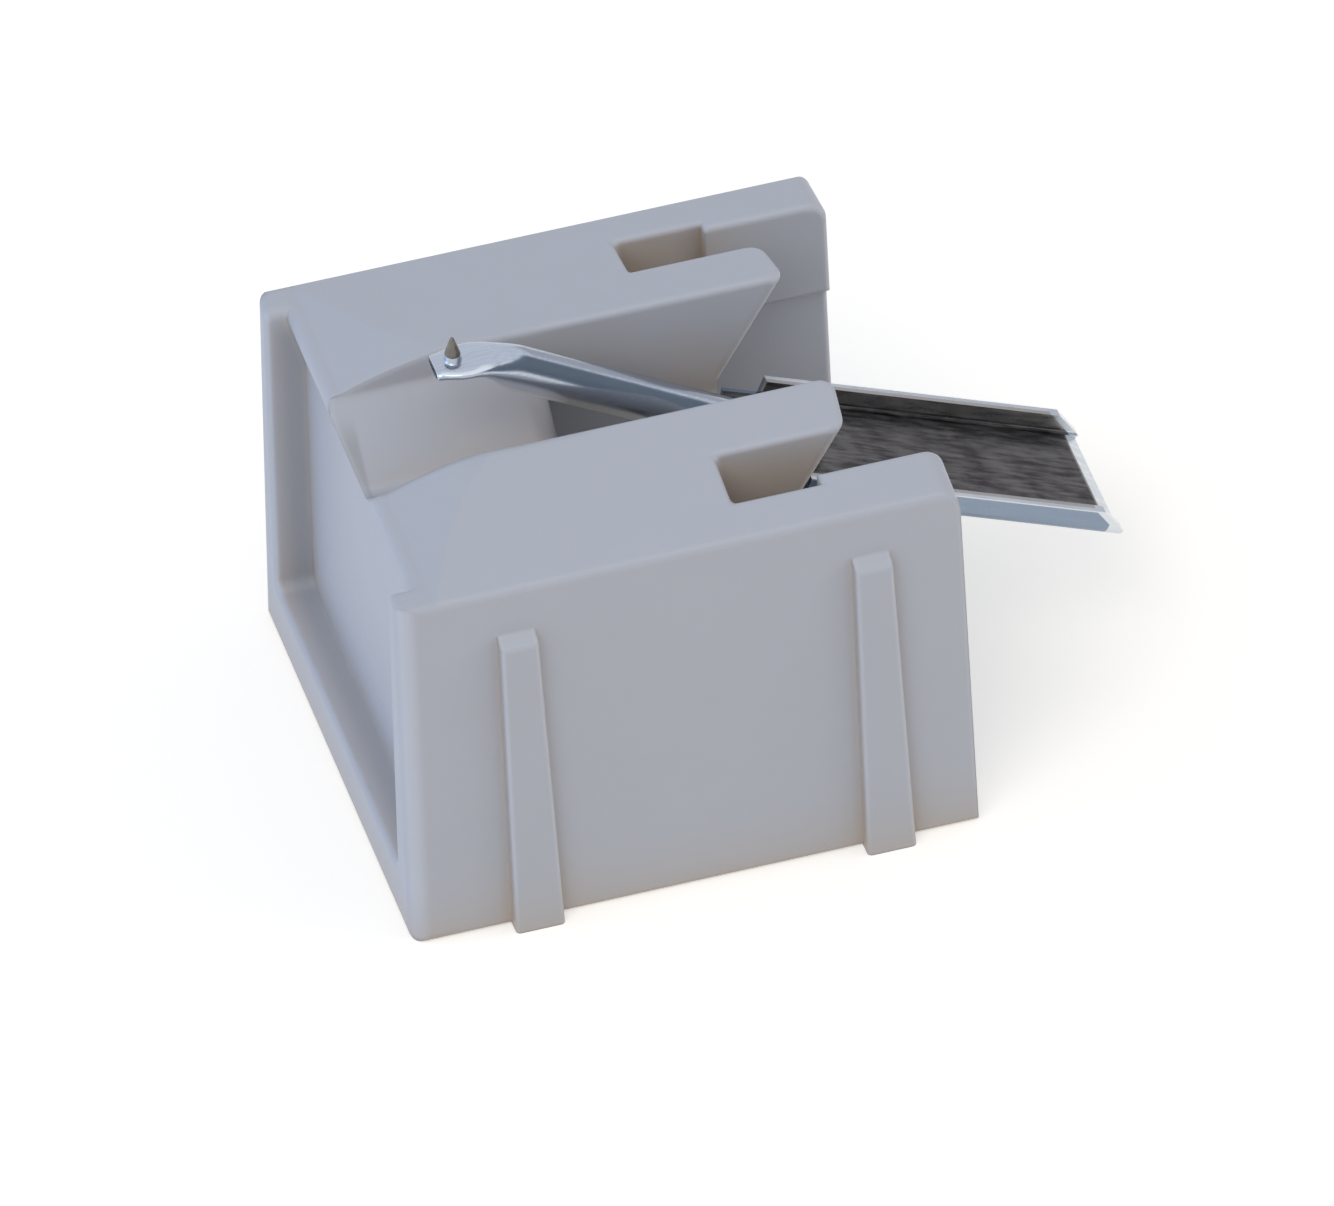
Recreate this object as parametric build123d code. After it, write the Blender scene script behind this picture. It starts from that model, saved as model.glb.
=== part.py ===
from build123d import *
from math import asin, atan2, cos, hypot, radians, sin, sqrt, tan
import os

# Replacement stylus for a turntable cartridge, standing on its base rim with the tip up.
# All sizes are in millimetres and degrees. X runs from the front recess to the open back, Z up.
# Places along X are measured from the front rim, and the finished pieces are moved together at the end.

# Moulded holder, outside
holder_length = 11.315
holder_width = 10.0
side_height = 8.35
side_draft = 2.1
front_draft = 0.4
back_draft = 0.9
roof_pitch = 9.7
hip_length = 3.715
hip_radius = 7.5
hip_margin = 0.02
front_corner_radius = 0.42
back_corner_radius = 0.4
back_edge_radius = 0.12
foot_radius = 0.15
eaves_radius = 0.16

# Front recess and its frame
recess_depth = 0.785
brow_reach = 0.4
brow_height = 1.45
frame_side = 0.75
frame_bottom = 1.2
recess_corner_radius = 0.25
post_radius = 0.22
roof_front_radius = 0.22
rim_radius = 0.11

# Walls and inside of the holder
side_wall = 0.97
front_wall = 0.9
roof_thickness = 1.35
back_pad_length = 2.51
back_pad_depth = 0.25
back_pad_height = 2.05

# Slot over the cantilever, with its V-shaped front groove
slot_width = 3.08
groove_end = 4.815
groove_shoulder_drop = 0.05
groove_depth = 1.35
groove_root_radius = 0.3
groove_end_radius = 0.5
groove_wall = 0.9

# Fingers beside the slot, and the notches outside them
finger_width = 1.32
finger_setback = 1.42
finger_undercut = 30.5
finger_corner_radius = 0.35
notch_length = 4.3
notch_corner_radius = 0.15
roof_edge_radius = 0.12

# Cradle that ties the fingers together, and the shelf that carries the channel
cradle_length = 1.45
cradle_drop = 3.45
cradle_end_gap = 0.1
saddle_drop = 2.35
saddle_radius = 0.45
shelf_length = 1.35
shelf_thickness = 0.8

# Side ribs
front_rib_start = 1.945
back_rib_setback = 2.22
rib_width = 0.76
rib_spread = 0.24
rib_drop = 1.05
rib_stand = 0.3
rib_top_drop = 0.2
rib_edge_radius = 0.1

# Folded metal channel
carrier_setback = 2.87
carrier_drop = 2.0
carrier_slope = 23.1
carrier_length = 7.8
carrier_width = 3.22
carrier_height = 0.6
sheet = 0.2
bend_radius = 0.26
lip_start = 0.78
lip_end_chamfer = 0.55
end_bevel_length = 0.35
end_bevel_depth = 0.12

# Cantilever tube with its flattened paddle
tube_diameter = 0.91
tube_wall = 0.1
tube_slope = 31.0
tube_gap = 0.38
tube_run = 4.91
paddle_length = 0.93
paddle_rise = 1.55
paddle_width = 0.98
nose_width = 0.7
paddle_thickness = 0.24
flare_length = 0.9

# Stylus tip
tip_setback = 0.4
shank_diameter = 0.3
shank_stand = 0.14
shank_below = 0.03
cone_diameter = 0.32
cone_height = 0.43
point_diameter = 0.06

# Pivot: rubber block, pin and magnet
pivot_along = 0.45
pin_diameter = 0.4
spigot_length = 0.8
bend_gap = 0.15
block_length = 0.66
block_width = 1.3
magnet_diameter = 0.56
magnet_length = 0.75
magnet_gap = 0.12
fit_clearance = 0.01

# Worked out from the sizes above
half_width = holder_width / 2
half_slot = slot_width / 2
inner_half = half_width - side_wall
finger_outer = half_slot + finger_width
base_half = half_width + side_height * tan(radians(side_draft))
base_length = holder_length + side_height * tan(radians(back_draft))
front_foot = side_height * tan(radians(front_draft))
roof_ridge = side_height + half_width * tan(radians(roof_pitch))
roof_underside = side_height - roof_thickness
slot_edge_level = side_height + (half_width - half_slot) * tan(radians(roof_pitch))
hip_top = slot_edge_level + hip_margin
hip_centre = hip_top - hip_radius
groove_shoulder = side_height - groove_shoulder_drop
groove_bottom = groove_shoulder - groove_depth
groove_rise = groove_depth / half_slot
saddle_top = side_height - saddle_drop
cradle_bottom = side_height - cradle_drop
finger_end = holder_length - finger_setback
notch_start = holder_length - notch_length
carrier_front = holder_length - carrier_setback
carrier_level = side_height - carrier_drop
cradle_end = carrier_front - cradle_end_gap
cradle_start = cradle_end - cradle_length
tube_rear = carrier_front - tube_gap
bend_place = tube_rear - tube_run
paddle_front = bend_place - paddle_length
paddle_level = side_height + paddle_rise
tip_place = paddle_front + tip_setback
rib_height = side_height - rib_drop
rib_starts = (front_rib_start, holder_length - back_rib_setback)
slope = radians(carrier_slope)
fall = radians(tube_slope)
tube_radius = tube_diameter / 2
beyond = holder_length + holder_width
carrier_plane = Plane(
    origin=(carrier_front, 0, carrier_level),
    x_dir=(cos(slope), 0, -sin(slope)),
    z_dir=(sin(slope), 0, cos(slope)),
)

shank_foot = paddle_level - paddle_thickness / 2 - shank_below
shank_top = paddle_level + paddle_thickness / 2 + shank_stand
block_start = pivot_along - block_length / 2
block_end = pivot_along + block_length / 2
magnet_end = block_end + magnet_gap + magnet_length
pin_bend = (tube_rear + bend_gap, 0, paddle_level - (tube_rear + bend_gap - bend_place) * tan(fall))
pin_bend_local = carrier_plane.to_local_coords(Vector(*pin_bend))
pin_height = pin_bend_local.Z


def box_between(x_range, y_range, z_range):
    ranges = (x_range, y_range, z_range)
    size = [high - low for low, high in ranges]
    middle = [(high + low) / 2 for low, high in ranges]
    return Pos(*middle) * Box(*size)


def cross_section(face, start, end):
    # A face drawn in YZ, extruded along X from start to end.
    return extrude(Plane.YZ.offset(start) * face, end - start)


def both_sides(solid):
    return solid + mirror(solid, Plane.XZ)


def corners_at(face, height):
    # Corners of a drawn face that lie at the given height.
    return [corner for corner in face.vertices() if abs(corner.Y - height) < fit_clearance]


def outer_form():
    # Drafted block with a gabled roof, slotted along its ridge and rolled down to the front edge.
    gable = make_face(Polyline(
        (-base_half, 0), (base_half, 0), (half_width, side_height),
        (half_slot, slot_edge_level), (half_slot, groove_shoulder),
        (-half_slot, groove_shoulder), (-half_slot, slot_edge_level),
        (-half_width, side_height), close=True,
    ))
    gable = fillet(corners_at(gable, side_height), eaves_radius)
    gable_bar = cross_section(gable, -holder_width, beyond)

    top_length = base_length - hip_top * tan(radians(back_draft))
    hip_start = hip_length - sqrt(hip_radius**2 - (side_height - hip_centre)**2)
    outline = Polyline(
        (hip_start, side_height), (0, side_height), (-front_foot, 0), (base_length, 0),
        (top_length, hip_top), (hip_length, hip_top),
    )
    hip = TangentArc((hip_length, hip_top), (hip_start, side_height), tangent=(-1, 0))
    side_view = make_face([*outline.edges(), *hip.edges()])
    return gable_bar & extrude(Plane.XZ * side_view, holder_width, both=True)


def corner_cutter(corner, first_normal, second_normal, size):
    # What is cut from the edge between two flat faces to round it, tangent to both of them.
    along = first_normal.cross(second_normal)
    plane = Plane(origin=corner, x_dir=along.cross(first_normal), z_dir=along)
    lean = asin(first_normal.dot(second_normal))
    low_end = (size * sin(lean), size * cos(lean))
    outline = Polyline((-size, 0), (-size, -size), (2 * size, -size), (2 * size, low_end[1]), low_end)
    rounding = TangentArc((-size, 0), low_end, tangent=(1, 0))
    section = make_face([*outline.edges(), *rounding.edges()])
    return plane, section


def back_corner_cutter():
    # Upper back corner of one side wall.
    roof_normal = Vector(0, sin(radians(roof_pitch)), cos(radians(roof_pitch)))
    back_normal = Vector(cos(radians(back_draft)), 0, sin(radians(back_draft)))
    corner = (holder_length, half_width, side_height)
    plane, section = corner_cutter(corner, roof_normal, back_normal, back_corner_radius)
    return plane * Pos(0, 0, -half_width) * extrude(section, half_width + side_wall)


def front_corner_cutter():
    # Upright front edge of one side wall.
    side_normal = Vector(0, cos(radians(side_draft)), sin(radians(side_draft)))
    front_normal = Vector(-cos(radians(front_draft)), 0, sin(radians(front_draft)))
    corner = (0, half_width, side_height)
    plane, section = corner_cutter(corner, side_normal, front_normal, front_corner_radius)
    return plane * Pos(0, 0, -holder_width) * extrude(section, 2 * holder_width)


def recess_front_view():
    # Front outline of the recess, open at the top and wider there so that the frame's posts end rounded.
    half = half_width - frame_side
    face = make_face(Polyline(
        (-half, frame_bottom), (half, frame_bottom), (half, side_height), (holder_width, side_height),
        (holder_width, roof_ridge), (-holder_width, roof_ridge), (-holder_width, side_height),
        (-half, side_height), close=True,
    ))
    face = fillet(corners_at(face, frame_bottom), recess_corner_radius)
    post_ends = [corner for corner in corners_at(face, side_height) if abs(corner.X) < half_width]
    return fillet(post_ends, post_radius)


def front_recess():
    # Recess with a back wall parallel to the front, leaning out at the top to the roof's rolled edge.
    front_view = cross_section(recess_front_view(), -recess_depth, 2 * recess_depth)
    brow = recess_depth - brow_reach
    knee = Vector(recess_depth - brow_height * tan(radians(front_draft)), side_height - brow_height)
    lean = atan2(knee.X - brow, brow_height)
    up = Vector(-sin(lean), cos(lean))
    rolled = roof_front_radius / tan((radians(90) - lean) / 2)
    low_end = Vector(brow, side_height) - up * rolled
    high_end = Vector(brow + rolled, side_height)
    outline = Polyline(
        high_end, (high_end.X, roof_ridge), (-recess_depth, roof_ridge),
        (-recess_depth, 0), (recess_depth - front_foot, 0), knee, low_end,
    )
    rounded_edge = TangentArc(low_end, high_end, tangent=up)
    side_view = make_face([*outline.edges(), *rounded_edge.edges()])
    return front_view & extrude(Plane.XZ * side_view, holder_width, both=True)


def groove_outline(drop, top):
    # V outline of the groove, or of its underside when dropped by a wall.
    low = groove_bottom - drop
    half = (top - low) / groove_rise
    return make_face(Polyline((0, low), (half, top), (-half, top), close=True))


def groove_cutter():
    # V-shaped groove under the front of the cantilever.
    outline = groove_outline(0, groove_shoulder)
    root = outline.vertices().sort_by(Axis.Y)[0]
    return cross_section(fillet([root], groove_root_radius), -recess_depth, groove_end)


def groove_trough():
    # Wall of even thickness under the groove.
    outline = groove_outline(groove_wall * hypot(1, groove_rise), groove_shoulder)
    return cross_section(outline, recess_depth, groove_end)


def slot_cutter():
    # Slot between the fingers, with rounded lower corners on the saddle.
    face = make_face(Polyline(
        (-half_slot, saddle_top), (half_slot, saddle_top),
        (half_slot, roof_ridge), (-half_slot, roof_ridge), close=True,
    ))
    return cross_section(fillet(corners_at(face, saddle_top), saddle_radius), groove_end, cradle_end)


def finger():
    # One finger: a straight root, and an undercut end with rounded corners.
    root = box_between((notch_start, cradle_end), (half_slot, finger_outer), (roof_underside, roof_ridge))
    lean = radians(finger_undercut)
    depth = slot_edge_level - saddle_top
    plan = make_face(Polyline(
        (cradle_end, half_slot), (finger_end, half_slot),
        (finger_end, finger_outer), (cradle_end, finger_outer), close=True,
    ))
    tip_corners = plan.vertices().group_by(Axis.X)[-1]
    rounded = fillet(tip_corners, finger_corner_radius)
    lower = extrude(
        Plane.XY.offset(slot_edge_level) * rounded, depth / cos(lean), dir=(-sin(lean), 0, -cos(lean)),
    )
    upper = extrude(Plane.XY.offset(slot_edge_level) * rounded, roof_ridge - slot_edge_level)
    leg = box_between((cradle_start, cradle_end), (half_slot, finger_outer), (cradle_bottom, roof_ridge))
    tip = (lower + upper) - box_between((0, cradle_end), (0, holder_width), (0, roof_underside))
    return root + tip + leg


def shelf():
    # Sloping shelf under the front of the channel.
    return carrier_plane * box_between(
        (-cradle_end_gap - sheet, shelf_length),
        (-carrier_width / 2, carrier_width / 2),
        (-sheet - shelf_thickness, -sheet),
    )


def back_pad():
    # Thicker upper part of one side wall at the back, with a sloping lower edge.
    low = side_height - back_pad_height
    face = inner_half - back_pad_depth
    section = make_face(Polyline(
        (face, low), (inner_half, low - back_pad_depth), (half_width, low - back_pad_depth),
        (half_width, roof_ridge), (face, roof_ridge), close=True,
    ))
    return cross_section(section, holder_length - back_pad_length, beyond)


def rib(start):
    # One drafted rib on a side face, with a sloping top end.
    face_at_top = half_width + (side_height - rib_height) * tan(radians(side_draft))
    section = make_face(Polyline(
        (inner_half, 0), (base_half + rib_stand, 0), (face_at_top + rib_stand, rib_height - rib_top_drop),
        (face_at_top, rib_height), (inner_half, rib_height), close=True,
    ))
    front = make_face(Polyline(
        (start, 0), (start + rib_width + rib_spread, 0), (start + rib_width, rib_height),
        (start, rib_height), close=True,
    ))
    bar = cross_section(section, 0, beyond) & extrude(Plane.XZ * front, holder_width, both=True)
    outer_face = bar.faces().sort_by(Axis.Y)[-1]
    soft_edges = outer_face.edges().sort_by(Axis.Z)[1:]
    return fillet(soft_edges, rib_edge_radius)


def roof_edges(body):
    # Edges of the gabled roof inside the eaves: along the slot, round the fingers and the notches.
    picked = []
    for edge in body.edges():
        middle = edge @ 0.5
        roof_level = side_height + (half_width - abs(middle.Y)) * tan(radians(roof_pitch))
        on_roof = abs(middle.Z - roof_level) < fit_clearance
        if on_roof and middle.X > hip_length and abs(middle.Y) < inner_half + fit_clearance:
            picked.append(edge)
    return picked


def groove_end_edges(body):
    # Back edge of the groove, over the open inside.
    picked = []
    for edge in body.edges():
        middle = edge @ 0.5
        off_groove = abs(middle.Z - groove_bottom - abs(middle.Y) * groove_rise)
        if abs(middle.X - groove_end) < fit_clearance and off_groove < groove_root_radius:
            picked.append(edge)
    return picked


def notch_corners(body):
    # Upright inner corners at the front of the two notches.
    upright = body.edges().filter_by(Axis.Z)
    return [edge for edge in upright if abs(edge.center().X - notch_start) < fit_clearance]


def back_edges(body):
    # Inner upright edges of the side walls at the open back.
    picked = []
    for edge in body.edges():
        middle = edge @ 0.5
        depth = inner_half + fit_clearance - abs(middle.Y)
        if middle.X > holder_length and 0 < depth < side_wall and edge.length > side_wall:
            picked.append(edge)
    return picked


def foot_edges(body):
    # Outer lower edges of the side walls, between the ribs.
    picked = []
    for edge in body.edges().filter_by(Axis.X):
        middle = edge @ 0.5
        if abs(middle.Z) < fit_clearance and abs(abs(middle.Y) - base_half) < fit_clearance:
            picked.append(edge)
    return picked


def rim_edges(body):
    # Edges round the front face of the frame, outside and inside.
    return [edge for edge in body.edges() if max((edge @ 0).X, (edge @ 1).X) < fit_clearance]


def softened(body):
    # The foot comes before the rim, which runs round its rounded ends.
    body = fillet(foot_edges(body), foot_radius)
    body = fillet(rim_edges(body), rim_radius)
    body = fillet(back_edges(body), back_edge_radius)
    body = fillet(groove_end_edges(body), groove_end_radius)
    body = fillet(notch_corners(body), notch_corner_radius)
    return body - both_sides(front_corner_cutter())


def stylus_holder():
    outer = outer_form()
    cavity = box_between(
        (recess_depth + front_wall, beyond), (-inner_half, inner_half), (-side_wall, roof_underside),
    )
    open_back = box_between((notch_start, beyond), (-inner_half, inner_half), (0, roof_ridge))
    body = outer - cavity - open_back
    inside = groove_trough() + shelf() + both_sides(finger()) + both_sides(back_pad())
    saddle = box_between(
        (cradle_start, cradle_end), (-finger_outer, finger_outer), (cradle_bottom, roof_underside),
    )
    body = body + ((inside + saddle) & outer)
    body = body - front_recess() - groove_cutter() - slot_cutter()
    body = body - both_sides(back_corner_cutter())
    body = fillet(roof_edges(body), roof_edge_radius)
    for start in rib_starts:
        body = body + both_sides(rib(start))
    return softened(body)


def carrier_channel():
    # Folded channel with its open side up: a flat tongue in front, lips behind, and a tapered rear end.
    half = carrier_width / 2
    low = -sheet
    lip_top = carrier_height - sheet
    outer = make_face(Polyline((-half, low), (half, low), (half, lip_top), (-half, lip_top), close=True))
    outer = fillet(corners_at(outer, low), bend_radius)
    inner_half_width = half - sheet
    inner = make_face(Polyline(
        (-inner_half_width, 0), (inner_half_width, 0),
        (inner_half_width, carrier_height), (-inner_half_width, carrier_height), close=True,
    ))
    inner = fillet(corners_at(inner, 0), bend_radius - sheet)
    channel = cross_section(outer - inner, 0, carrier_length)
    tongue_clear = box_between((-sheet, lip_start), (-carrier_width, carrier_width), (0, carrier_height))
    end_cut = make_face(Polyline(
        (carrier_length, 0), (carrier_length - lip_end_chamfer, lip_top),
        (carrier_length - lip_end_chamfer, carrier_height), (carrier_length + sheet, carrier_height),
        (carrier_length + sheet, 0), close=True,
    ))
    end_bevel = make_face(Polyline(
        (carrier_length - end_bevel_length, 0), (carrier_length, -end_bevel_depth),
        (carrier_length + sheet, -end_bevel_depth), (carrier_length + sheet, 0), close=True,
    ))
    channel = channel - tongue_clear - extrude(Plane.XZ * end_cut, carrier_width, both=True)
    channel = channel - extrude(Plane.XZ * end_bevel, inner_half_width, both=True)
    return carrier_plane * channel


def axis_plane(place, direction):
    # A plane square to a direction in the middle plane, with its first axis across the holder.
    return Plane(origin=place, x_dir=(0, 1, 0), z_dir=direction)


def rod(plane, diameter, length):
    # A round bar that starts on the plane and runs along its normal.
    return extrude(plane * Circle(diameter / 2), length)


def tube_point(x):
    # Point of the tube's axis at the given place along X.
    return (x, 0, paddle_level - (x - bend_place) * tan(fall))


def cantilever():
    # Tube with a flattened paddle at its front end, narrowed to the nose and flared into the tube.
    half_bend = (cos(fall / 2), 0, -sin(fall / 2))
    tube_along = (cos(fall), 0, -sin(fall))
    front_plane = axis_plane((paddle_front, 0, paddle_level), (1, 0, 0))
    bend_plane = axis_plane((bend_place, 0, paddle_level), half_bend)
    front_section = front_plane * Ellipse(nose_width / 2, paddle_thickness / 2)
    bend_section = bend_plane * Ellipse(paddle_width / 2, paddle_thickness / 2 / cos(fall / 2))
    tube_start = bend_place + flare_length * cos(fall)
    tube_plane = axis_plane(tube_point(tube_start), tube_along)
    tube_length = (tube_rear - tube_start) / cos(fall)
    paddle = loft([front_section, bend_section])
    flare = loft([bend_section, tube_plane * Circle(tube_radius)])
    tube = rod(tube_plane, tube_diameter, tube_length)
    bore = rod(tube_plane, tube_diameter - 2 * tube_wall, tube_length)
    shank_hole = Pos(tip_place, 0, paddle_level) * Cylinder(shank_diameter / 2 + fit_clearance, tube_diameter)
    return paddle + flare + tube - bore - shank_hole


def tip_shank():
    return extrude(Plane((tip_place, 0, shank_foot)) * Circle(shank_diameter / 2), shank_top - shank_foot)


def diamond_tip():
    cone = Cone(cone_diameter / 2, point_diameter / 2, cone_height)
    return Pos(tip_place, 0, shank_top + cone_height / 2) * cone


def pivot_pin():
    # Spigot in the tube's rear end, then a slim pin that bends to run level with the channel's floor.
    tube_along = (cos(fall), 0, -sin(fall))
    spigot_start = tube_rear - spigot_length * cos(fall)
    spigot_diameter = tube_diameter - 2 * tube_wall - 2 * fit_clearance
    spigot = rod(axis_plane(tube_point(spigot_start), tube_along), spigot_diameter, spigot_length)
    neck = rod(axis_plane(tube_point(tube_rear), tube_along), pin_diameter, bend_gap / cos(fall))
    elbow = Pos(*pin_bend) * Sphere(pin_diameter / 2)
    pin = cross_section(Pos(0, pin_height) * Circle(pin_diameter / 2), pin_bend_local.X, magnet_end)
    return spigot + neck + elbow + carrier_plane * pin


def damper_block():
    # Rubber block with an arched top, flat on the channel's floor.
    half = block_width / 2
    arch = Pos(0, pin_height / 2) * Rectangle(block_width, pin_height) + Pos(0, pin_height) * Circle(half)
    below = Pos(0, -half) * Rectangle(2 * block_width, block_width)
    bore = Pos(0, pin_height) * Circle(pin_diameter / 2 + fit_clearance)
    return carrier_plane * cross_section(arch - below - bore, block_start, block_end)


def magnet():
    ring = Circle(magnet_diameter / 2) - Circle(pin_diameter / 2 + fit_clearance)
    return carrier_plane * cross_section(Pos(0, pin_height) * ring, block_end + magnet_gap, magnet_end)


parts = {
    "stylus_holder": stylus_holder(),
    "carrier_channel": carrier_channel(),
    "cantilever": cantilever(),
    "tip_shank": tip_shank(),
    "diamond_tip": diamond_tip(),
    "pivot_pin": pivot_pin(),
    "damper_block": damper_block(),
    "magnet": magnet(),
}

os.makedirs("parts", exist_ok=True)
front_end = parts["stylus_holder"].bounding_box().min.X
back_end = parts["carrier_channel"].bounding_box().max.X
to_origin = Pos(-(front_end + back_end) / 2, 0, 0)
for name, solid in parts.items():
    export_step(to_origin * solid, f"parts/{name}.step")
pivot = carrier_plane.from_local_coords(Vector(pivot_along, 0, pin_height))
print("overall length:", back_end - front_end)
print("middle of the length:", (front_end + back_end) / 2)
print("pivot of the cantilever:", pivot - Vector((front_end + back_end) / 2, 0, 0))
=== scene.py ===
import math

import bmesh
import bpy
from mathutils import Matrix, Vector


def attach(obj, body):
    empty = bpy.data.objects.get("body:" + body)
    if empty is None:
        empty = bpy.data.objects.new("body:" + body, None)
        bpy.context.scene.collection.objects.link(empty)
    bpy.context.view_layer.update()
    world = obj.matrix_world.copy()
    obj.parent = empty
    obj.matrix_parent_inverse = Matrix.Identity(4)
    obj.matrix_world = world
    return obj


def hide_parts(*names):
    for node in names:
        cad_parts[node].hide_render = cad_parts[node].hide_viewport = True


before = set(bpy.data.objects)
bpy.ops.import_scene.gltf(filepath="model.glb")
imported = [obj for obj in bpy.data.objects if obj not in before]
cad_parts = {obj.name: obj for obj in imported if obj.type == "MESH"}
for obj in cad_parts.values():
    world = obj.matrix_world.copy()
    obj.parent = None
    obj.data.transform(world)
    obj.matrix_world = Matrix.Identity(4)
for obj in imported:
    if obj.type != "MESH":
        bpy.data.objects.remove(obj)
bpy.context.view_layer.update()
print("frame loaded:", ", ".join(sorted(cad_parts)))

mm = 0.001  # sizes below are in millimetres, as in the drawing


class Value:  # a shader socket that takes Python's own operators
    def __init__(self, finish, socket):
        self.finish = finish
        self.socket = socket

    def work(self, operation, first, second):
        return self.finish.node("ShaderNodeMath", {"operation": operation}, {0: first, 1: second})

    def __add__(self, other):
        return self.work("ADD", self, other)

    def __sub__(self, other):
        return self.work("SUBTRACT", self, other)

    def __mul__(self, other):
        return self.work("MULTIPLY", self, other)

    def __radd__(self, other):
        return self.work("ADD", other, self)

    def __rsub__(self, other):
        return self.work("SUBTRACT", other, self)

    def __rmul__(self, other):
        return self.work("MULTIPLY", other, self)

    def __abs__(self):
        return self.work("ABSOLUTE", self, 0.0)


class Finish:  # one node tree, of a material or of the world
    def __init__(self, name, tree=None):
        if tree is None:
            self.material = bpy.data.materials.new(name)
            self.material.use_nodes = True
            tree = self.material.node_tree
        self.tree = tree
        self.tree.nodes.clear()

    def node(self, kind, settings=None, inputs=None, output=0):
        made = self.tree.nodes.new(kind)
        for key, value in (settings or {}).items():
            setattr(made, key, value)
        for key, value in (inputs or {}).items():
            self.feed(made.inputs[key], value)
        return Value(self, made.outputs[output]) if len(made.outputs) else made

    def feed(self, socket, value):
        if isinstance(value, Value):
            self.tree.links.new(value.socket, socket)
        else:
            socket.default_value = value

    def objectPlace(self):
        return self.node("ShaderNodeTexCoord", output="Object")

    def noise(self, place, size, detail=3.0, stretch=(1, 1, 1), turn=0.0):  # size in mm
        mapped = self.node(
            "ShaderNodeMapping", {},
            {"Vector": place, "Rotation": (0, turn, 0), "Scale": tuple(s / (size * mm) for s in stretch)},
        )
        return self.node("ShaderNodeTexNoise", {}, {"Vector": mapped, "Scale": 1.0, "Detail": detail})

    def spread(self, value, low, high, lowTo=0.0, highTo=1.0):  # smooth step from one range to another
        return self.node(
            "ShaderNodeMapRange", {"interpolation_type": "SMOOTHSTEP"},
            {"Value": value, "From Min": low, "From Max": high, "To Min": lowTo, "To Max": highTo},
        )

    def blend(self, factor, first, second):
        return self.node(
            "ShaderNodeMix", {"data_type": "RGBA"}, {0: factor, 6: first, 7: second}, output=2,
        )

    def larger(self, first, second):
        return self.node("ShaderNodeMath", {"operation": "MAXIMUM"}, {0: first, 1: second})

    def split(self, vector):
        parts = self.node("ShaderNodeSeparateXYZ", {}, {0: vector}).socket.node
        return [Value(self, socket) for socket in parts.outputs]

    def bump(self, height, depth, strength, normal=None):  # depth in mm
        inputs = {"Height": height, "Distance": depth * mm, "Strength": strength}
        if normal is not None:
            inputs["Normal"] = normal
        return self.node("ShaderNodeBump", {}, inputs)

    def surface(self, inputs):
        shader = self.node("ShaderNodeBsdfPrincipled", {}, inputs)
        self.node("ShaderNodeOutputMaterial", {}, {"Surface": shader})
        return self.material


def colour(red, green, blue):  # a screen colour, 0 to 255, in the linear values Blender works in
    def linear(level):
        level = level / 255
        return level / 12.92 if level <= 0.04045 else ((level + 0.055) / 1.055) ** 2.4
    return (linear(red), linear(green), linear(blue), 1.0)


def dress(node, material):
    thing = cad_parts[node]
    thing.data.materials.clear()
    thing.data.materials.append(material)


# Camera, at the photograph's angle through a long lens
cameraLooks = {
    "aim": (-1.2514, -0.7877, 3.2700),
    "right": (0.9574, -0.2872, -0.0270),
    "up": (0.2104, 0.6314, 0.7462),
    "distance": 500.0,
    "frameWidth": 26.06,
    "sensor": 36.0,
}


def placeCamera(looks):
    data = bpy.data.cameras.new("stylusCamera")
    data.sensor_fit = "HORIZONTAL"
    data.sensor_width = looks["sensor"]
    data.lens = looks["sensor"] * looks["distance"] / looks["frameWidth"]
    camera = bpy.data.objects.new("stylusCamera", data)
    bpy.context.scene.collection.objects.link(camera)
    right = Vector(looks["right"]).normalized()
    back = right.cross(Vector(looks["up"])).normalized()
    up = back.cross(right)
    turn = Matrix((right, up, back)).transposed()
    place = (Vector(looks["aim"]) + back * looks["distance"]) * mm
    camera.matrix_world = Matrix.Translation(place) @ turn.to_4x4()
    bpy.context.scene.camera = camera


placeCamera(cameraLooks)
print("camera set")


# Holder: satin moulded plastic
plasticLooks = {
    "body": (182, 185, 193),
    "creviceShade": (186, 173, 160),
    "creviceReach": 2.4,
    "mottle": 0.066,
    "mottleSize": 1.6,
    "mottleDim": 0.8,
    "grainSize": 0.045,
    "grainDepth": 0.003,
    "grainStrength": 0.6,
    "roughness": (0.42, 0.52),
    "edgeRadius": 0.1,
    "edgeHighlight": (214, 215, 219),
    "wideBevelReach": 0.22,
    "highlightShare": 0.42,
    "cornerShare": 0.75,
    "frontShare": 0.3,
    "frameShade": (164, 165, 170),
    "frameFront": -7.78,
    "frameBack": -7.0,
    "frameHalf": 4.5,
    "frameTop": 8.1,
    "grooveHalf": 1.9,
    "grooveEnd": -2.97,
    "slotHalf": 1.54,
}


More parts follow.
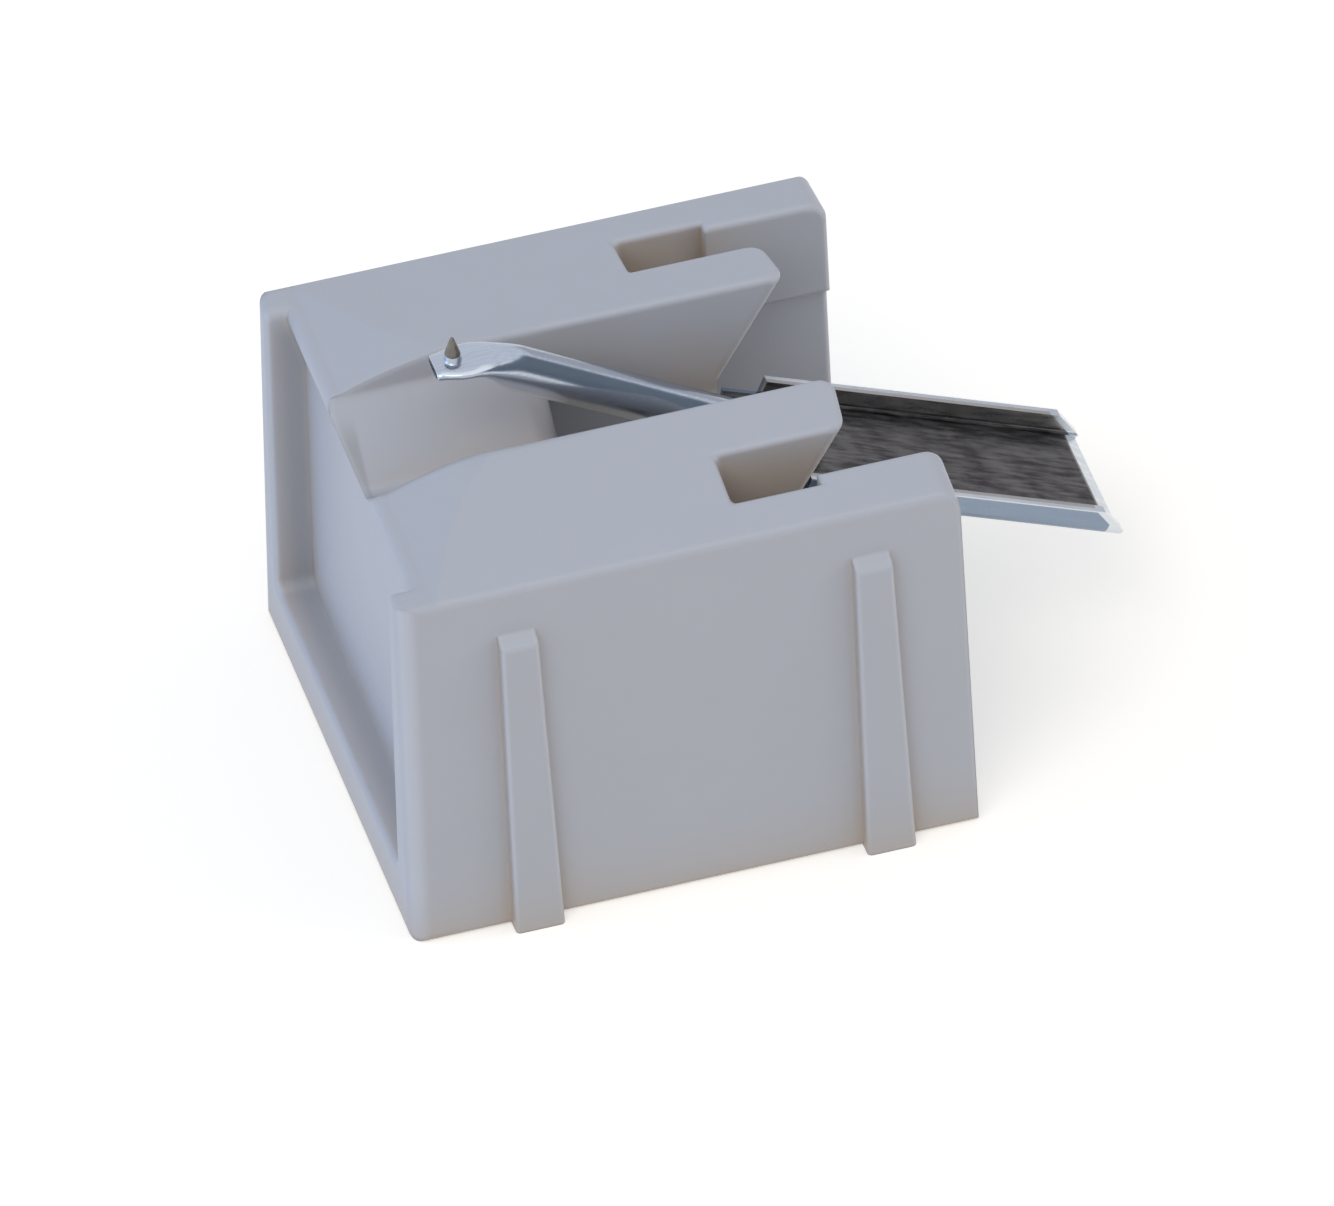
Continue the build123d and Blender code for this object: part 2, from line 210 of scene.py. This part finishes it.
def holderPlastic(looks):
    finish = Finish("holderPlastic")
    place = finish.objectPlace()
    along, across, height = finish.split(place)
    aside = abs(across)
    mottle = finish.noise(place, looks["mottleSize"], 4.0)
    grain = finish.noise(place, looks["grainSize"], 2.0)
    plain = colour(*looks["body"])

    # painted shade: a warmer tone is painted into the crevices; faintly mottled all over
    crevice = finish.node(
        "ShaderNodeAmbientOcclusion", {"samples": 8}, {"Distance": looks["creviceReach"] * mm}, output="AO",
    )
    shade = finish.spread(crevice, 0.2, 0.9)
    body = finish.blend(shade, colour(*looks["creviceShade"]), plain)
    fleck = finish.spread(mottle, 0.3, 0.7, 0.0, looks["mottle"])
    darker = tuple(level * looks["mottleDim"] for level in plain[:3]) + (1.0,)
    tone = finish.blend(fleck, body, darker)

    # painted shade: the inner faces of the front frame are painted darker
    flat = finish.node("ShaderNodeNewGeometry", output="Normal")
    lengthwise, sideways, _ = finish.split(flat)
    front, back = looks["frameFront"] * mm, looks["frameBack"] * mm
    half, top = looks["frameHalf"] * mm, looks["frameTop"] * mm
    atFront = finish.spread(along, back + 0.15 * mm, back + 0.05 * mm)
    frameShadeMask = atFront * finish.spread(along, front + 0.05 * mm, back - 0.3 * mm) * (1 - abs(lengthwise))
    frameShadeMask = frameShadeMask * finish.spread(aside, half + 0.05 * mm, half)
    frameShadeMask = frameShadeMask * finish.spread(height, top, top - 0.5 * mm)
    tone = finish.blend(frameShadeMask, tone, colour(*looks["frameShade"]))

    # painted highlight: edges are painted paler, upright corners a little less, and least of all the frame's
    # own front
    wide = finish.node("ShaderNodeBevel", {"samples": 6}, {"Radius": looks["wideBevelReach"] * mm})
    facing = finish.node(
        "ShaderNodeVectorMath", {"operation": "DOT_PRODUCT"}, {0: wide, 1: flat}, output="Value",
    )
    corner = finish.spread(abs(lengthwise * sideways), 0.05, 0.5) * looks["cornerShare"]
    edge = finish.spread(1 - facing, 0.0, 0.25)
    wearAndHighlight = finish.larger(corner, edge) * shade * looks["highlightShare"]
    wearAndHighlight = wearAndHighlight * finish.spread(lengthwise, -0.98, -0.8, looks["frontShare"], 1.0)
    tone = finish.blend(wearAndHighlight, tone, colour(*looks["edgeHighlight"]))

    # soft edges, softer still on the frame and along the shoulders of the groove
    soft = finish.node("ShaderNodeBevel", {"samples": 6}, {"Radius": looks["edgeRadius"] * mm})
    grooveHalf, grooveEnd = looks["grooveHalf"] * mm, looks["grooveEnd"] * mm
    onFrame = atFront * finish.spread(aside, grooveHalf, grooveHalf + 0.6 * mm)
    shoulder = finish.spread(abs(aside - looks["slotHalf"] * mm), 0.3 * mm, 0.15 * mm)
    shoulder = shoulder * finish.spread(along, grooveEnd + 0.2 * mm, grooveEnd - 0.2 * mm)
    rounded = finish.larger(onFrame, shoulder)
    soft = finish.node("ShaderNodeMix", {"data_type": "VECTOR"}, {0: rounded, 4: soft, 5: wide}, output=1)
    normal = finish.bump(grain, looks["grainDepth"], looks["grainStrength"], soft)
    low, high = looks["roughness"]
    return finish.surface({
        "Base Color": tone,
        "Roughness": finish.spread(grain, 0.3, 0.7, low, high),
        "Normal": normal,
    })


dress("stylus_holder", holderPlastic(plasticLooks))
print("holder dressed")


# Channel: rolled sheet, with painted shade dull and streaked inside and painted highlights bright on its
# folded lips
channelLooks = {
    "bright": (137, 151, 169),
    "taperHighlight": (216, 221, 226),
    "dull": (121, 118, 117),
    "dark": (71, 67, 66),
    "litLipInside": (186, 182, 178),
    "slope": 23.1,
    "start": (0.6639, 0.0, 6.35),
    "halfWidth": 1.61,
    "sheet": 0.2,
    "lipTop": 0.4,
    "length": 7.8,
    "taperStart": 7.43,
    "endLean": 1.375,
    "endBand": 0.2,
    "streakSize": 0.1,
    "streakDepth": 0.004,
    "smudgeSize": 0.4,
    "roughness": (0.24, 0.4),
}


def channelSteel(looks):
    finish = Finish("channelSteel")
    turn = math.radians(looks["slope"])
    start = tuple(-level * mm for level in looks["start"])
    moved = finish.node("ShaderNodeVectorMath", {"operation": "ADD"}, {0: finish.objectPlace(), 1: start})
    local = finish.node(
        "ShaderNodeVectorRotate", {"rotation_type": "Y_AXIS"}, {"Vector": moved, "Angle": -turn},
    )
    along, across, height = finish.split(local)

    # painted shade: the trough is painted dark and streaked inside, and painted light makes it paler up the
    # inside of the lips
    streaks = finish.noise(local, looks["streakSize"], 5.0, (0.15, 1, 1))
    smudge = finish.noise(local, looks["smudgeSize"], 5.0, (0.6, 1, 1))
    patches = finish.spread(streaks * 0.5 + smudge * 0.5, 0.35, 0.65)
    insideShading = finish.blend(patches, colour(*looks["dark"]), colour(*looks["dull"]))
    onLip = finish.spread(height, 0.05 * mm, 0.12 * mm)
    insideShading = finish.blend(onLip, insideShading, colour(*looks["litLipInside"]))
    midSheet = (looks["halfWidth"] - looks["sheet"] / 2) * mm
    inside = finish.spread(height, -0.03 * mm, -0.01 * mm)
    inside = inside * finish.spread(abs(across), midSheet + 0.01 * mm, midSheet - 0.01 * mm)

    # bare metal outside, with a painted highlight palest on the cut edges and the tapered end
    taperHighlight = finish.spread(along, looks["taperStart"] * mm, (looks["taperStart"] + 0.03) * mm)
    band = (looks["length"] - looks["endBand"]) * mm
    lipEnd = finish.spread(along + height * looks["endLean"], band - 0.02 * mm, band + 0.02 * mm)
    lipTop = finish.spread(height, (looks["lipTop"] - 0.04) * mm, (looks["lipTop"] - 0.01) * mm)
    highlightMask = finish.larger(finish.larger(taperHighlight, lipTop), lipEnd)
    outside = finish.blend(highlightMask, colour(*looks["bright"]), colour(*looks["taperHighlight"]))
    low, high = looks["roughness"]
    return finish.surface({
        "Base Color": finish.blend(inside * (1 - lipEnd), outside, insideShading),
        "Metallic": 1.0,
        "Roughness": finish.spread(streaks, 0.3, 0.7, low, high),
        "Normal": finish.bump(streaks, looks["streakDepth"], 0.5),
    })


dress("carrier_channel", channelSteel(channelLooks))
print("channel dressed")


# Small metal pieces: drawn tube, shank, pin and magnet
metalLooks = {
    "tube": {
        "tone": (188, 195, 205), "line": 0.03, "stretch": 0.02, "turn": 31.0, "roughness": (0.16, 0.24),
        "under": (240, 243, 246), "bend": (-4.6261, 9.9),
    },
    "shank": {"tone": (184, 191, 202), "line": 0.03, "stretch": 1.0, "turn": 0.0, "roughness": (0.3, 0.4)},
    "pin": {"tone": (172, 172, 172), "line": 0.04, "stretch": 0.05, "turn": 23.1, "roughness": (0.25, 0.4)},
    "magnet": {"tone": (92, 92, 94), "line": 0.06, "stretch": 1.0, "turn": 0.0, "roughness": (0.4, 0.6)},
}
lineDepth = 0.001


def drawnMetal(name, looks):
    finish = Finish(name)
    place = finish.objectPlace()
    turn = math.radians(looks["turn"])
    lines = finish.noise(place, looks["line"], 3.0, (looks["stretch"], 1, 1), turn)
    wearAndHighlight = finish.spread(lines, 0.35, 0.7, 0.0, 0.1)
    tone = finish.blend(wearAndHighlight, colour(*looks["tone"]), (0, 0, 0, 1))
    if "under" in looks:  # painted highlight: the tube's underside is painted brighter
        along, _, height = finish.split(place)
        bendPlace, bendHeight = looks["bend"]
        ahead = height - bendHeight * mm
        behind = ahead * math.cos(turn) + (along - bendPlace * mm) * math.sin(turn)
        above = finish.larger(ahead, behind)
        tone = finish.blend(finish.spread(above, 0.04 * mm, -0.12 * mm), tone, colour(*looks["under"]))
    low, high = looks["roughness"]
    return finish.surface({
        "Base Color": tone,
        "Metallic": 1.0,
        "Roughness": finish.spread(lines, 0.3, 0.7, low, high),
        "Normal": finish.bump(lines, lineDepth, 0.5),
    })


dress("pivot_pin", drawnMetal("pinSteel", metalLooks["pin"]))
dress("magnet", drawnMetal("magnetMetal", metalLooks["magnet"]))


# Tip: dark polished stone
stoneLooks = {
    "core": (92, 80, 66),
    "edge": (40, 34, 29),
    "cloudSize": 0.12,
    "roughness": (0.12, 0.22),
    "ior": 2.0,
}


def tipStone(looks):
    finish = Finish("tipStone")
    cloud = finish.noise(finish.objectPlace(), looks["cloudSize"], 2.0)
    tone = finish.blend(finish.spread(cloud, 0.35, 0.65), colour(*looks["edge"]), colour(*looks["core"]))
    low, high = looks["roughness"]
    return finish.surface({
        "Base Color": tone,
        "Roughness": finish.spread(cloud, 0.3, 0.7, low, high),
        "IOR": looks["ior"],
    })


# Cantilever: a drawn tube, pressed flat at the front and bent down behind the tip
cantileverLooks = {
    "bend": (-4.6261, 0.0, 9.9),
    "slope": 31.0,
    "bendRadius": 0.8,
    "paddleLength": 0.93,
    "paddleWidth": 0.98,
    "noseWidth": 0.7,
    "noseReach": 0.62,
    "paddleThickness": 0.24,
    "paddleSquareness": 2.6,
    "paddleSpan": 0.958,
    "flareStart": -0.3,
    "flareEnd": 0.9,
    "bendSpan": 1.75,
    "tubeLength": 5.728,
    "diameter": 0.91,
    "bore": 0.71,
    "boreDepth": 0.85,
    "edge": 0.035,
    "slitDepth": 0.09,
    "slitWall": 0.045,
    "segments": 56,
}


def smoothStep(value, low, high):
    part = min(max((value - low) / (high - low), 0.0), 1.0)
    return part * part * (3 - 2 * part)


def tubeStation(looks, run):  # place and fall of the tube's axis, run millimetres behind the bend
    fall = math.radians(looks["slope"])
    reach = looks["bendRadius"] * math.tan(fall / 2)
    corner = Vector(looks["bend"])
    if run <= -reach:
        return corner + Vector((run, 0, 0)), 0.0
    if run >= reach:
        return corner + Vector((math.cos(fall), 0, -math.sin(fall))) * run, fall
    turn = fall * (run + reach) / (2 * reach)
    arc = Vector((math.sin(turn), 0, math.cos(turn) - 1)) * looks["bendRadius"]
    return corner + Vector((-reach, 0, 0)) + arc, turn


def tubeRing(looks, ring, run, scale=1.0):  # lays one ring of points round the tube at a station
    place, turn = tubeStation(looks, run)
    share = smoothStep(run, looks["flareStart"], looks["flareEnd"])
    nose = smoothStep(-run, looks["paddleLength"] - looks["noseReach"], looks["paddleLength"])
    paddle = looks["paddleWidth"] + (looks["noseWidth"] - looks["paddleWidth"]) * nose
    width = paddle + (looks["diameter"] - paddle) * share
    thickness = looks["paddleThickness"] + (looks["diameter"] - looks["paddleThickness"]) * share
    shrink = looks["diameter"] * (1 - scale)
    power = 2 / (looks["paddleSquareness"] + (2 - looks["paddleSquareness"]) * share)  # 2 is round
    frameTurn = Matrix.Rotation(turn, 3, "Y")
    for index, point in enumerate(ring):
        angle = 2 * math.pi * index / len(ring)
        side = math.copysign(abs(math.cos(angle)) ** power, math.cos(angle)) * (width - shrink) / 2
        rise = math.copysign(abs(math.sin(angle)) ** power, math.sin(angle)) * (thickness - shrink) / 2
        point.co = (place + frameTurn @ Vector((0, side, rise))) * mm


def nextRing(shape, ring):  # grows the tube by one ring
    edges = [shape.edges.get((ring[index - 1], ring[index])) for index in range(len(ring))]
    grown = bmesh.ops.extrude_edge_only(shape, edges=edges)["geom"]
    points = set(item for item in grown if isinstance(item, bmesh.types.BMVert))
    matched = []
    for point in ring:
        others = [edge.other_vert(point) for edge in point.link_edges]
        matched.append(next(other for other in others if other in points))
    return matched


def addPiece(name, shape, material, body, replaced, sharp=40):
    bmesh.ops.recalc_face_normals(shape, faces=shape.faces)
    mesh = bpy.data.meshes.new(name)
    shape.to_mesh(mesh)
    shape.free()
    mesh.shade_smooth()
    mesh.set_sharp_from_angle(angle=math.radians(sharp))
    mesh.materials.append(material)
    piece = bpy.data.objects.new(name, mesh)
    bpy.context.scene.collection.objects.link(piece)
    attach(piece, body)
    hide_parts(replaced)
    return piece


def makeCantilever(looks):
    front, rear, edge = -looks["paddleLength"], looks["tubeLength"], looks["edge"]

    def drawnIn(share):  # scale of a ring that lies a share of the rounded edge further in
        return 1 - share * edge / looks["diameter"]

    # rings from the nose back: close on the rounded edges and the bend, wide on the straight tube
    runs = [front + edge * 0.35, front + edge, front + 3 * edge]
    runs += [front + looks["paddleSpan"] * step / 6 for step in range(1, 7)]
    runs += [looks["flareStart"] + looks["bendSpan"] * step / 34 for step in range(35)]
    runs += [rear - edge, rear - edge * 0.35]
    scales = {0: drawnIn(0.7), len(runs) - 1: drawnIn(0.5)}
    shape = bmesh.new()
    ring = bmesh.ops.create_circle(shape, cap_ends=False, segments=looks["segments"], radius=mm)["verts"]
    tubeRing(looks, ring, front, drawnIn(2))
    first = ring
    for index, run in enumerate(sorted(runs)):
        ring = nextRing(shape, ring)
        tubeRing(looks, ring, run, scales.get(index, 1.0))
    ring = nextRing(shape, ring)
    tubeRing(looks, ring, rear, drawnIn(2))

    # bore at the back, slit in the pressed nose
    inner = looks["bore"] / looks["diameter"]
    ring = nextRing(shape, ring)
    tubeRing(looks, ring, rear, inner)
    ring = nextRing(shape, ring)
    tubeRing(looks, ring, rear - looks["boreDepth"], inner)
    shape.faces.new(ring)
    nose = shape.faces.new(first)
    bmesh.ops.inset_region(shape, faces=[nose], thickness=looks["slitWall"] * mm, depth=0.0)
    bmesh.ops.translate(shape, verts=nose.verts, vec=(looks["slitDepth"] * mm, 0, 0))
    return addPiece(
        "cantileverTube", shape, drawnMetal("tubeAluminium", metalLooks["tube"]),
        "cantilever", "cantilever",
    )


makeCantilever(cantileverLooks)
print("cantilever made")


# Tip: a turned shank with a bead of cement, and a ground stone on it
tipLooks = {
    "place": (-5.1561, 0.0),
    "shank": [
        (0.0, 9.75), (0.15, 9.75), (0.15, 9.99), (0.178, 10.005), (0.182, 10.02), (0.165, 10.04),
        (0.15, 10.06), (0.15, 10.155), (0.142, 10.165), (0.0, 10.165),
    ],
    "stone": [
        (0.0, 10.16), (0.142, 10.16), (0.158, 10.17), (0.155, 10.195), (0.06, 10.49), (0.045, 10.54),
        (0.026, 10.574), (0.0, 10.588),
    ],
    "segments": 40,
    "sharp": 60,
}


def turned(outline, place, segments):  # a small lathe: spins an outline of radius and height
    shape = bmesh.new()
    points = [shape.verts.new((radius * mm, 0, height * mm)) for radius, height in outline]
    edges = [shape.edges.new(pair) for pair in zip(points, points[1:])]
    bmesh.ops.spin(
        shape, geom=points + edges, cent=(0, 0, 0), axis=(0, 0, 1), angle=2 * math.pi,
        steps=segments, use_merge=True, use_duplicate=False,
    )
    bmesh.ops.remove_doubles(shape, verts=shape.verts, dist=0.0005 * mm)
    bmesh.ops.translate(shape, verts=shape.verts, vec=(place[0] * mm, place[1] * mm, 0))
    return shape


def makeTip(looks):
    shank = turned(looks["shank"], looks["place"], looks["segments"])
    shankMetal = drawnMetal("shankMetal", metalLooks["shank"])
    addPiece("shankPost", shank, shankMetal, "cantilever", "tip_shank")
    stone = turned(looks["stone"], looks["place"], looks["segments"])
    addPiece("tipCone", stone, tipStone(stoneLooks), "cantilever", "diamond_tip", looks["sharp"])


makeTip(tipLooks)
print("tip made")


# Damper: black rubber
rubberLooks = {
    "tone": (38, 37, 37),
    "dust": (66, 64, 62),
    "poreSize": 0.12,
    "poreDepth": 0.006,
    "roughness": (0.65, 0.85),
}


def damperRubber(looks):
    finish = Finish("damperRubber")
    pores = finish.noise(finish.objectPlace(), looks["poreSize"], 4.0)
    dusty = finish.spread(pores, 0.4, 0.8)
    low, high = looks["roughness"]
    return finish.surface({
        "Base Color": finish.blend(dusty, colour(*looks["tone"]), colour(*looks["dust"])),
        "Roughness": finish.spread(pores, 0.3, 0.7, low, high),
        "Normal": finish.bump(pores, looks["poreDepth"], 0.6),
    })


dress("damper_block", damperRubber(rubberLooks))
print("small pieces dressed")


# Studio: pale floor, soft lamps, white background
studioLooks = {
    "floorSize": 1600.0,
    "floor": (240, 233, 223),
    "world": (238, 243, 252),
    "worldLight": 0.62,
    "cards": {
        "darkCard": {"place": (69, -29.3, 40), "size": (110, 90), "tone": (100, 113, 128), "level": 1.0},
        "greyCard": {"place": (60, 59, 23), "size": (60, 44), "tone": (196, 197, 204), "level": 1.0},
        "whiteCard": {"place": (40, -44, 194), "size": (170, 170), "tone": (255, 255, 255), "level": 1.35},
    },
    "footprint": {"middle": (-2.1, 0.0), "half": (5.0, 4.4), "blur": 0.8},
    "glow": 0.42,
    "glowTone": (248, 252, 255),
    "lamps": {
        "keySoftbox": {"place": (-220, -260, 420), "size": 320.0, "power": 0.75, "tone": (255, 252, 246)},
        "sideSoftbox": {"place": (420, -120, 200), "size": 260.0, "power": 0.38, "tone": (255, 253, 250)},
        "frontGlow": {"place": (-420, 40, 70), "size": 220.0, "power": 0.52, "tone": (132, 188, 255)},
    },
}


def cameraOrMirror(finish):  # 1 for what the camera sees, straight on, in metal or through glass
    light = finish.node("ShaderNodeLightPath").socket.node
    rays = ("Is Camera Ray", "Is Glossy Ray", "Is Transmission Ray")
    straight, mirrored, through = [Value(finish, light.outputs[ray]) for ray in rays]
    return finish.node("ShaderNodeMath", {"operation": "MINIMUM"}, {0: straight + mirrored + through, 1: 1.0})


def layFloor(looks):
    mesh = bpy.data.meshes.new("studioFloor")
    shape = bmesh.new()
    bmesh.ops.create_grid(shape, x_segments=1, y_segments=1, size=looks["floorSize"] / 2 * mm)
    shape.to_mesh(mesh)
    shape.free()
    floor = bpy.data.objects.new("studioFloor", mesh)
    bpy.context.scene.collection.objects.link(floor)
    finish = Finish("studioFloor")
    base = looks["footprint"]
    under = 1.0  # painted shade: the floor under the holder doesn't glow
    for place, middle, half in zip(finish.split(finish.objectPlace()), base["middle"], base["half"]):
        under = finish.spread(abs(place - middle * mm), half * mm, (half - base["blur"]) * mm) * under
    diffuse = finish.node("ShaderNodeBsdfDiffuse", {}, {"Color": colour(*looks["floor"])})
    strength = cameraOrMirror(finish) * (1 - under) * looks["glow"]
    glow = finish.node("ShaderNodeEmission", {}, {"Color": colour(*looks["glowTone"]), "Strength": strength})
    both = finish.node("ShaderNodeAddShader", {}, {0: diffuse, 1: glow})
    finish.node("ShaderNodeOutputMaterial", {}, {"Surface": both})
    mesh.materials.append(finish.material)


def hangCard(name, card):  # a plain card that only shows in bright metal
    mesh = bpy.data.meshes.new(name)
    shape = bmesh.new()
    bmesh.ops.create_grid(shape, x_segments=1, y_segments=1, size=0.5)
    width, height = card["size"]
    bmesh.ops.scale(shape, verts=shape.verts, vec=(width * mm, height * mm, 1))
    place = Vector(card["place"])
    turn = place.to_track_quat("Z", "Y").to_matrix()
    bmesh.ops.rotate(shape, verts=shape.verts, cent=(0, 0, 0), matrix=turn)
    bmesh.ops.translate(shape, verts=shape.verts, vec=place * mm)
    shape.to_mesh(mesh)
    shape.free()
    thing = bpy.data.objects.new(name, mesh)
    bpy.context.scene.collection.objects.link(thing)
    thing.visible_camera = False
    thing.visible_diffuse = False
    thing.visible_transmission = False
    thing.visible_shadow = False
    finish = Finish(name)
    glow = finish.node("ShaderNodeEmission", {}, {"Color": colour(*card["tone"]), "Strength": card["level"]})
    finish.node("ShaderNodeOutputMaterial", {}, {"Surface": glow})
    mesh.materials.append(finish.material)


def lightWorld(looks):
    world = bpy.data.worlds.new("studioWorld")
    world.use_nodes = True
    bpy.context.scene.world = world
    finish = Finish("studioWorld", world.node_tree)
    level = cameraOrMirror(finish)
    strength = level * (1 - looks["worldLight"]) + looks["worldLight"]
    back = finish.node("ShaderNodeBackground", {}, {"Color": colour(*looks["world"]), "Strength": strength})
    finish.node("ShaderNodeOutputWorld", {}, {"Surface": back})


def hangLamps(looks):
    for name, lamp in looks["lamps"].items():
        data = bpy.data.lights.new(name, "AREA")
        data.shape = "SQUARE"
        data.size = lamp["size"] * mm
        data.energy = lamp["power"]
        data.color = colour(*lamp["tone"])[:3]
        thing = bpy.data.objects.new(name, data)
        bpy.context.scene.collection.objects.link(thing)
        place = Vector(lamp["place"])
        turn = place.to_track_quat("Z", "Y").to_matrix()
        thing.matrix_world = Matrix.Translation(place * mm) @ turn.to_4x4()


layFloor(studioLooks)
for name, card in studioLooks["cards"].items():
    hangCard(name, card)
lightWorld(studioLooks)
hangLamps(studioLooks)
bpy.context.scene.view_settings.view_transform = "Standard"
print("studio lit")
